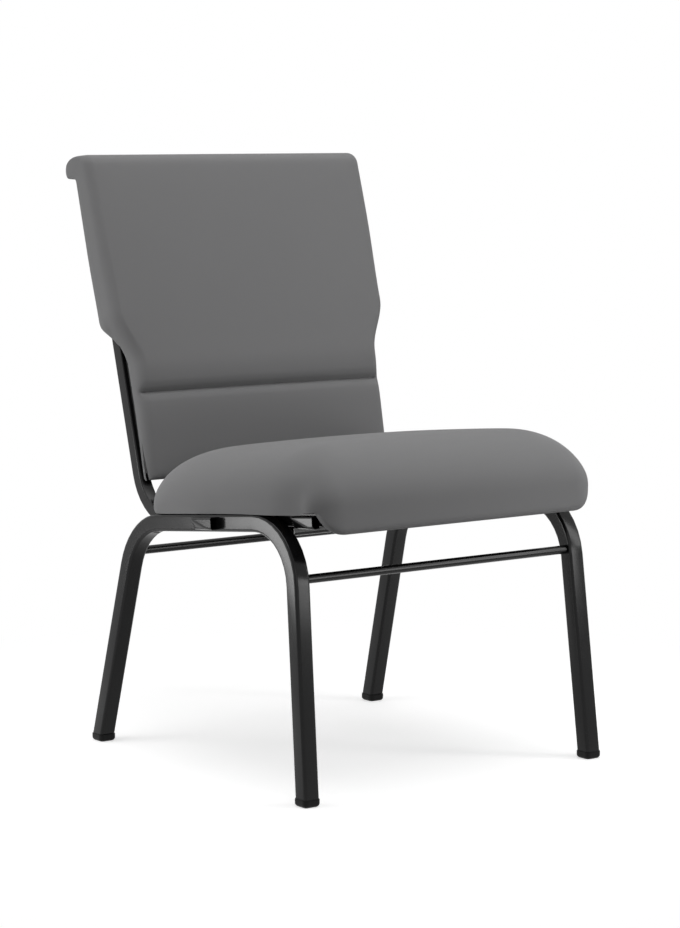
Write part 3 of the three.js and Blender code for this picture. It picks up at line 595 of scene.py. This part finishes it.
puffed(seat_cover, seat_pressure, seat_puff, seat_held)
finished(seat_cover)

# The board and its dust cloth lie in a recess of the underside, and the tubes' bends in two notches behind.
recess_size, recess_middle, recess_corner = (0.4726, 0.3626, 0.0234), (0, 0.137, 0.0147), 0.028
board_recess = block("board_recess", recess_size, recess_middle)
pick(board_recess, "EDGE", lambda points: points[0].z != points[1].z)
bpy.ops.mesh.bevel(offset=recess_corner, segments=6)
bpy.ops.object.mode_set(mode="OBJECT")
bend_y, bend_z, bend_inside, tube_x, tube_width = 0.3432, 0.0837, 0.0704, 0.2228, 0.0197
notch_side = 0.080
notches = []
for side in (-1, 1):
    notch_middle = (side * tube_x, bend_y + notch_side / 2, bend_z - notch_side / 2)
    notch = block("notch", (tube_width, notch_side, notch_side), notch_middle)
    bpy.ops.object.select_all(action="DESELECT")
    bpy.ops.mesh.primitive_cylinder_add(
        vertices=96, radius=bend_inside, depth=0.03,
        rotation=(0, math.radians(90), 0), location=(side * tube_x, bend_y, bend_z),
    )
    drum = bpy.context.object
    bpy.ops.object.transform_apply(location=True, rotation=True, scale=True)
    only(notch)
    cut = notch.modifiers.new("cut", "BOOLEAN")
    cut.object = drum
    bpy.ops.object.modifier_apply(modifier="cut")
    bpy.data.objects.remove(drum)
    notches.append(notch)
for cutter in (board_recess, *notches):
    cutter.data.transform(seat_matrix)
hollowed(seat_cover, board_recess, *notches)
seat_cover.data.materials.append(woven("grey_weave_seat", rail_slope).owner)
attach(seat_cover, "root")
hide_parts("seat_cushion")


# Back: one upholstered pad in front of the uprights, with wings that close round them and a top rolled to the
# rear. A channel is sewn across it above the lumbar.
back_rake = math.radians(15.6)
upright_place = Matrix.Translation((0, 0.408, 0))
back_matrix = seat_matrix @ upright_place @ Matrix.Rotation(rail_slope - back_rake, 4, "X")
back_bottom, back_top, seam_height = 0.057, 0.558, 0.190
seam_foot, seam_head = 0.181, 0.199
wing_start, wing_full = 0.231, 0.314
lumbar_half, wing_half, wing_taper = 0.2267, 0.2565, 0.0025
pad_face, pad_rest, pad_rear = -0.0303, -0.013, 0.0147
pad_crown, pad_fullness, lumbar_taper = 0.003, 0.003, 0.008
roll_front_radius = 0.020
roll_line = (
    (0.0147, -0.0345), (0.0168, -0.0300), (0.0260, -0.0284), (0.0312, -0.0256),
    (0.0331, -0.0205), (0.0329, -0.0138), (0.0294, -0.0058), (0.0251, -0.0020),
    (0.0162, 0.0016), (0.0034, 0.0025), (-0.0040, 0.0014),
)
hem_front, hem_rear = 0.257, 0.298
wing_lead, edge_share = 0.030, 0.9
roll_bottom = back_top - 0.030
front_round_foot = 0.0155
back_pressure, back_puff = 1.5, 0.0012
seam_depth, seam_half_height = 0.009, 0.015


def between(level, low, high):
    return np.clip((level - low) / (high - low), 0, 1)


face_at_bottom = pad_face + lumbar_taper
back_outline = spaced(
    [(pad_rest, back_bottom + 0.0015), (pad_rest, hem_rear), (pad_rear - 0.004, hem_rear)]
    + corner(pad_rear - 0.004, hem_rear + 0.004, 0.004, 270, 90, 5)
    + [(n, back_top + drop) for n, drop in roll_line]
    + corner(pad_face + roll_front_radius, back_top - roll_front_radius, roll_front_radius, 90, 90, 14)
    + [(pad_face, seam_foot)]
    + corner(face_at_bottom + 0.007, back_bottom + 0.007, 0.007, 180, 90, 6),
    0.005,
)
outline_way = np.roll(back_outline, -1, axis=0) - np.roll(back_outline, 1, axis=0)
outline_way /= np.linalg.norm(outline_way, axis=1, keepdims=True)
outline_out = np.stack([outline_way[:, 1], -outline_way[:, 0]], axis=1)


def half_width_at(up):
    wing = wing_half - lumbar_half - wing_taper * (1 - smooth(up, wing_full, wing_full + 0.13))
    return lumbar_half + wing * smooth(up, wing_start, wing_full)


def back_ring(side):
    share = abs(side)
    n, level = back_outline[:, 0], back_outline[:, 1]
    out_n, out_u = outline_out[:, 0], outline_out[:, 1]
    behind = between(n, pad_rest, pad_rear)
    hangs = smooth(share, edge_share - 0.03, edge_share)
    hem_at = hem_front + (hem_rear - hem_front) * behind ** 0.8
    lowered = hem_at + (level - hem_rear) * (wing_full - hem_at) / (wing_full - hem_rear)
    wings = (n >= pad_rest - 1e-6) & (level >= hem_rear - 1e-6) & (level < wing_full)
    up = np.where(wings, level + (lowered - level) * hangs, level)
    width = half_width_at(up + wing_lead * behind ** 3)
    pad_edge = 0.018 - 0.003 * smooth(up, wing_start, wing_full)
    if share < edge_share:
        x = share / edge_share * (width - pad_edge)
    else:
        x = width - pad_edge * (1 - share) / (1 - edge_share)
    drawn = 1 - rounding(x - width + pad_edge, pad_edge)
    wing = smooth(up + wing_lead * behind, wing_start, wing_full)
    forward = between(-n, -pad_rest, -pad_face)
    front_round = front_round_foot + 0.0035 * wing - 0.006 * smooth(up, wing_full + 0.02, wing_full + 0.16)
    rear_round = 0.001 + 0.013 * wing
    top_round = np.where(forward > 0, 0.012, 0.003)
    under_round = 0.001 - 0.003 * forward
    inset = np.where(out_n < 0, front_round * out_n, rear_round * behind)
    in_roll = (level > roll_bottom + 0.001) & (n > 0)
    inset = np.where(in_roll, 0.003 * out_n, inset)
    lift = np.where(out_u > 0, top_round, under_round)
    panel = np.where(
        level > seam_height,
        between(level, seam_head, back_top - roll_front_radius),
        between(level, back_bottom, seam_foot),
    )
    foot_rise = 1 - (1 - between(level, seam_height, seam_height + 0.05)) ** 2
    head_rise = 1 - (1 - between(level, seam_height, seam_height - 0.03)) ** 2
    fullness = np.where(
        level > seam_height,
        0.010 * foot_rise * (1 - panel) ** 0.8 + pad_fullness * panel * (1 - panel),
        0.003 * head_rise * panel + 0.002 * np.sin(math.pi * panel),
    )
    bulge = forward ** 2 * (1 - drawn) * (pad_crown * (1 - share * share) + fullness)
    x_side = math.copysign(1, side) * x
    return np.stack([x_side, n - inset * drawn - bulge, up - out_u * lift * drawn], axis=1)


edge_row = np.linspace(edge_share, 1, 17)[1:]
back_shares = np.r_[-edge_row[::-1], np.linspace(-edge_share, edge_share, 49), edge_row]
back_cover = lofted(
    "back_cushion_cover",
    [back_ring(side) for side in back_shares],
    lambda ring: ring[:, 2] + ring[:, 1] * 0.3,
)
back_cover.data.transform(back_matrix)


def back_local(points):
    inverse = np.array(back_matrix.inverted())
    return points @ inverse[:3, :3].T + inverse[:3, 3]


def back_held(points):
    return smooth(back_local(points)[:, 1], pad_rest - 0.008, pad_rest - 0.002)


puffed(back_cover, back_pressure, back_puff, back_held)


# The channel is sewn after the cover is on: a narrow valley with soft shoulders that runs out at the sides.
def sew_channel(piece, depth, half_height):
    local = back_local(points_of(piece))
    away = np.abs(local[:, 2] - seam_height) / half_height
    valley = np.clip(1 - away, 0, 1)
    valley = 0.5 * valley ** 1.5 + 0.5 * np.clip(1 - away * 3, 0, 1)
    in_front = smooth(-local[:, 1], -pad_rest, -pad_rest + 0.006)
    run_out = 1 - smooth(np.abs(local[:, 0]), lumbar_half - 0.014, lumbar_half - 0.002)
    local[:, 1] += depth * valley * in_front * run_out
    back = np.array(back_matrix)
    move_points(piece, local @ back[:3, :3].T + back[:3, 3])


finished(back_cover)
sew_channel(back_cover, seam_depth, seam_half_height)

# The board lies in a recess of the cover's rear, and the uprights end in two deep slots beside it.
board_room_size, board_room_middle = (0.451, 0.0093, 0.518), (0, -0.01145, 0.2545)
upright_room_size, upright_room_n, upright_room_up = (0.0200, 0.0201, 0.520), 0.00285, 0.2400
room = [block("board_room", board_room_size, board_room_middle)]
for side in (-1, 1):
    upright_middle = (side * tube_x, upright_room_n, upright_room_up)
    room.append(block("upright_room", upright_room_size, upright_middle))
for cutter in room:
    cutter.data.transform(back_matrix)
hollowed(back_cover, *room)
back_cover.data.materials.append(woven("grey_weave_back", back_rake).owner)
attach(back_cover, "root")
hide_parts("back_cushion")


# Outer back panel: a thin upholstered panel that closes the back between the uprights, in the same fabric as
# the back cushion.
panel_half, panel_front = 0.21295, -0.0066
panel_bottom, panel_top = 0.073, 0.2977
panel_round, panel_crown = 0.008, 0.002
panel_outline = spaced(
    [(panel_front, panel_bottom), (panel_front, panel_top)]
    + corner(pad_rear - 0.004, panel_top - 0.004, 0.004, 90, -90, 5)
    + corner(pad_rear - 0.008, panel_bottom + 0.008, 0.008, 0, -90, 6),
    0.004,
)


def panel_ring(share):
    n, up = panel_outline[:, 0], panel_outline[:, 1]
    rear = (n - panel_front) / (pad_rear - panel_front)
    x = share * panel_half
    drawn = 1 - rounding(abs(x) - panel_half + panel_round, panel_round)
    crown = panel_crown * (1 - share * share) * np.sin(math.pi * between(up, panel_bottom, panel_top))
    return np.stack([np.full_like(n, x), n - 0.006 * drawn * rear + crown * rear, up], axis=1)


panel_shares = np.sin(np.linspace(-math.pi / 2, math.pi / 2, 61))
panel_cover = lofted(
    "back_outer_panel_cover", [panel_ring(share) for share in panel_shares], lambda ring: ring[:, 2]
)
panel_cover.data.transform(back_matrix)
finished(panel_cover, 0)
bpy.ops.object.shade_smooth_by_angle(angle=math.radians(40))
panel_cover.data.materials.append(back_cover.data.materials[0])
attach(panel_cover, "root")
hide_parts("back_outer_panel")


# Floor: a plain white sheet. What the camera, a gloss or a clear part sees of it glows evenly, so that the
# picture is white, and its dim part near the chair carries the soft shadow.
bpy.ops.object.select_all(action="DESELECT")
bpy.ops.mesh.primitive_plane_add(size=60, location=(0, 0, 0))
floor = bpy.context.object
floor.name = "floor"
sheet = new_finish("white_floor")
sheet.tree.nodes.clear()


def background_rays(finish):
    """1 for rays that show the background: the camera's, and those off a gloss or through a clear part."""
    camera_ray = finish.node("ShaderNodeLightPath", out="Is Camera Ray")
    through = camera_ray.other("Is Glossy Ray").math("MAXIMUM", camera_ray.other("Is Transmission Ray"))
    return camera_ray.math("MAXIMUM", through)


white = (1, 1, 1, 1)
matt = sheet.node("ShaderNodeBsdfDiffuse", Color=(0.3, 0.3, 0.3, 1))
shaded = sheet.node("ShaderNodeBsdfDiffuse", Color=(0.7, 0.7, 0.7, 1))
near_glow = sheet.node("ShaderNodeEmission", Color=white, Strength=0.58)
far_glow = sheet.node("ShaderNodeEmission", Color=white, Strength=1.0)
near = sheet.node("ShaderNodeAddShader", sockets=(shaded, near_glow))
distance = sheet.node(
    "ShaderNodeVectorMath", {"operation": "LENGTH"}, out="Value", sockets=(sheet.coordinates(),)
)
far = sheet.node(
    "ShaderNodeMapRange", {"interpolation_type": "SMOOTHSTEP"}, Value=distance, From_Min=0.55, From_Max=1.05
)
seen = sheet.node("ShaderNodeMixShader", sockets=(far, near, far_glow))
sheet_out = sheet.tree.nodes.new("ShaderNodeOutputMaterial")
sheet_look = sheet.node("ShaderNodeMixShader", sockets=(background_rays(sheet), matt, seen))
sheet.feed(sheet_out.inputs[0], sheet_look)
floor.data.materials.append(sheet.owner)


# Studio: an even, dim surround that shows as plain white. There is a soft light at each side, one overhead
# and a weak one in front, and two low strips give the black tubes their gloss.
scene.world = bpy.data.worlds.new("studio")
studio = Finish(scene.world)
studio.tree.nodes.clear()
ambient = studio.node("ShaderNodeBackground", Color=white, Strength=0.2)
backdrop = studio.node("ShaderNodeBackground", Color=white, Strength=1.0)
studio_out = studio.tree.nodes.new("ShaderNodeOutputWorld")
studio_look = studio.node("ShaderNodeMixShader", sockets=(background_rays(studio), ambient, backdrop))
studio.feed(studio_out.inputs[0], studio_look)


def softbox(name, place, facing, size, radiance):
    data = bpy.data.lights.new(name, "AREA")
    data.shape = "RECTANGLE"
    data.size, data.size_y = size
    data.energy = radiance * math.pi * size[0] * size[1]
    lamp = bpy.data.objects.new(name, data)
    lamp.location = place
    lamp.rotation_euler = Vector(facing).to_track_quat("-Z", "Y").to_euler()
    lamp.visible_camera = False
    scene.collection.objects.link(lamp)


softbox("left_light", (-1.6, 0.5, 0.8), (1, 0, 0), (1.6, 1.2), 1.4)
softbox("front_fill", (-0.8, -2.2, 1.0), (0, 1, 0), (1.2, 1.2), 0.8)
softbox("top_light", (0, -0.3, 2.3), (0, 0, -1), (2.0, 2.0), 2.4)
softbox("right_key", (1.1, -1.14, 1.07), (-0.59, 0.6, -0.53), (0.25, 1.1), 6.0)
softbox("left_strip", (-1.0, 0.66, 0.27), (1, 0, 0), (0.65, 0.27), 8.0)
softbox("front_strip", (0.66, -1.2, 0.40), (0, 1, 0), (0.75, 0.24), 6.0)

scene.view_settings.view_transform = "Standard"
